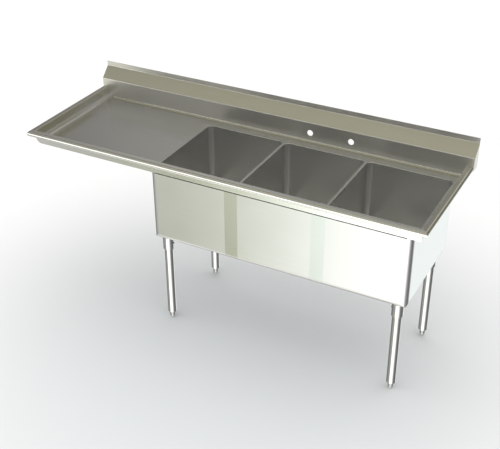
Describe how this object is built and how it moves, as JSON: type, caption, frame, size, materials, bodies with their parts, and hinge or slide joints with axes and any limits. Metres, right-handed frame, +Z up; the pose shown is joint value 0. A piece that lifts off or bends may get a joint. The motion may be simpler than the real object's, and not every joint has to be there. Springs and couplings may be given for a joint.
{
  "type": "three compartment sink",
  "caption": "Free-standing stainless commercial sink: coved bowls in a row, a left drainboard, rolled rims, a splash with faucet holes, drains and tube legs.",
  "frame": {"origin": "on the floor, under the middle of the outer box", "axes": "+X along the length, from the drainboard to the bowls; +Y towards the wall; +Z up"},
  "size_m": [1.9252, 0.6608, 0.977],
  "materials": {
    "rim_steel": "brushed stainless, fine lines along the rim",
    "deck_steel": "brushed stainless, satin",
    "frame_steel": "mill finish stainless",
    "bowl_steel": "brushed stainless, satin",
    "strip_steel": "stainless, ground weld seam",
    "splash_steel": "brushed stainless, satin",
    "socket_steel": "turned stainless",
    "screw_steel": "dark oiled steel",
    "leg_tube": "polished stainless tube",
    "insert_steel": "plain turned steel",
    "foot_metal": "turned metal, satin",
    "drain_chrome": "chrome plate",
    "gasket_rubber": "matt black rubber",
    "fibre_washer": "pressed fibre",
    "nut_brass": "plain machined brass",
    "basket_steel": "polished stainless"
  },
  "bodies": {
    "sink": {"front_rim": "rim_steel", "left_rim": "rim_steel", "right_rim": "rim_steel", "drainboard": "deck_steel", "bowl_deck": "deck_steel", "drainboard_stiffener": "frame_steel", "left_bowl": "bowl_steel", "middle_bowl": "bowl_steel", "right_bowl": "bowl_steel", "front_left_joint_strip": "strip_steel", "front_right_joint_strip": "strip_steel", "rear_left_joint_strip": "strip_steel", "rear_right_joint_strip": "strip_steel", "backsplash": "splash_steel", "left_splash_end": "splash_steel", "right_splash_end": "splash_steel", "front_left_socket": "socket_steel", "front_right_socket": "socket_steel", "back_left_socket": "socket_steel", "back_right_socket": "socket_steel", "socket_set_screws": "screw_steel", "front_left_leg": "leg_tube", "front_right_leg": "leg_tube", "back_left_leg": "leg_tube", "back_right_leg": "leg_tube", "front_left_insert": "insert_steel", "front_right_insert": "insert_steel", "back_left_insert": "insert_steel", "back_right_insert": "insert_steel", "left_drain_cup": "drain_chrome", "middle_drain_cup": "drain_chrome", "right_drain_cup": "drain_chrome", "left_gasket": "gasket_rubber", "middle_gasket": "gasket_rubber", "right_gasket": "gasket_rubber", "left_friction_washer": "fibre_washer", "middle_friction_washer": "fibre_washer", "right_friction_washer": "fibre_washer", "left_locknut": "nut_brass", "middle_locknut": "nut_brass", "right_locknut": "nut_brass", "left_tailpiece": "drain_chrome", "middle_tailpiece": "drain_chrome", "right_tailpiece": "drain_chrome", "left_coupling_nut": "nut_brass", "middle_coupling_nut": "nut_brass", "right_coupling_nut": "nut_brass"},
    "front_left_foot": {"front_left_foot": "foot_metal"},
    "front_right_foot": {"front_right_foot": "foot_metal"},
    "back_left_foot": {"back_left_foot": "foot_metal"},
    "back_right_foot": {"back_right_foot": "foot_metal"},
    "left_basket": {"left_basket": "basket_steel", "left_basket_knob": "basket_steel", "left_stopper": "gasket_rubber"},
    "middle_basket": {"middle_basket": "basket_steel", "middle_basket_knob": "basket_steel", "middle_stopper": "gasket_rubber"},
    "right_basket": {"right_basket": "basket_steel", "right_basket_knob": "basket_steel", "right_stopper": "gasket_rubber"}
  },
  "joints": [
    {"name": "front_left_foot_screw", "type": "slide", "parent": "sink", "child": "front_left_foot", "axis": [0, 0, 1], "range_m": [-0.025, 0]},
    {"name": "front_right_foot_screw", "type": "slide", "parent": "sink", "child": "front_right_foot", "axis": [0, 0, 1], "range_m": [-0.025, 0]},
    {"name": "back_left_foot_screw", "type": "slide", "parent": "sink", "child": "back_left_foot", "axis": [0, 0, 1], "range_m": [-0.025, 0]},
    {"name": "back_right_foot_screw", "type": "slide", "parent": "sink", "child": "back_right_foot", "axis": [0, 0, 1], "range_m": [-0.025, 0]},
    {"name": "left_basket_lift", "type": "slide", "parent": "sink", "child": "left_basket", "axis": [0, 0, 1], "range_m": [0, 0.45]},
    {"name": "middle_basket_lift", "type": "slide", "parent": "sink", "child": "middle_basket", "axis": [0, 0, 1], "range_m": [0, 0.45]},
    {"name": "right_basket_lift", "type": "slide", "parent": "sink", "child": "right_basket", "axis": [0, 0, 1], "range_m": [0, 0.45]}
  ]
}
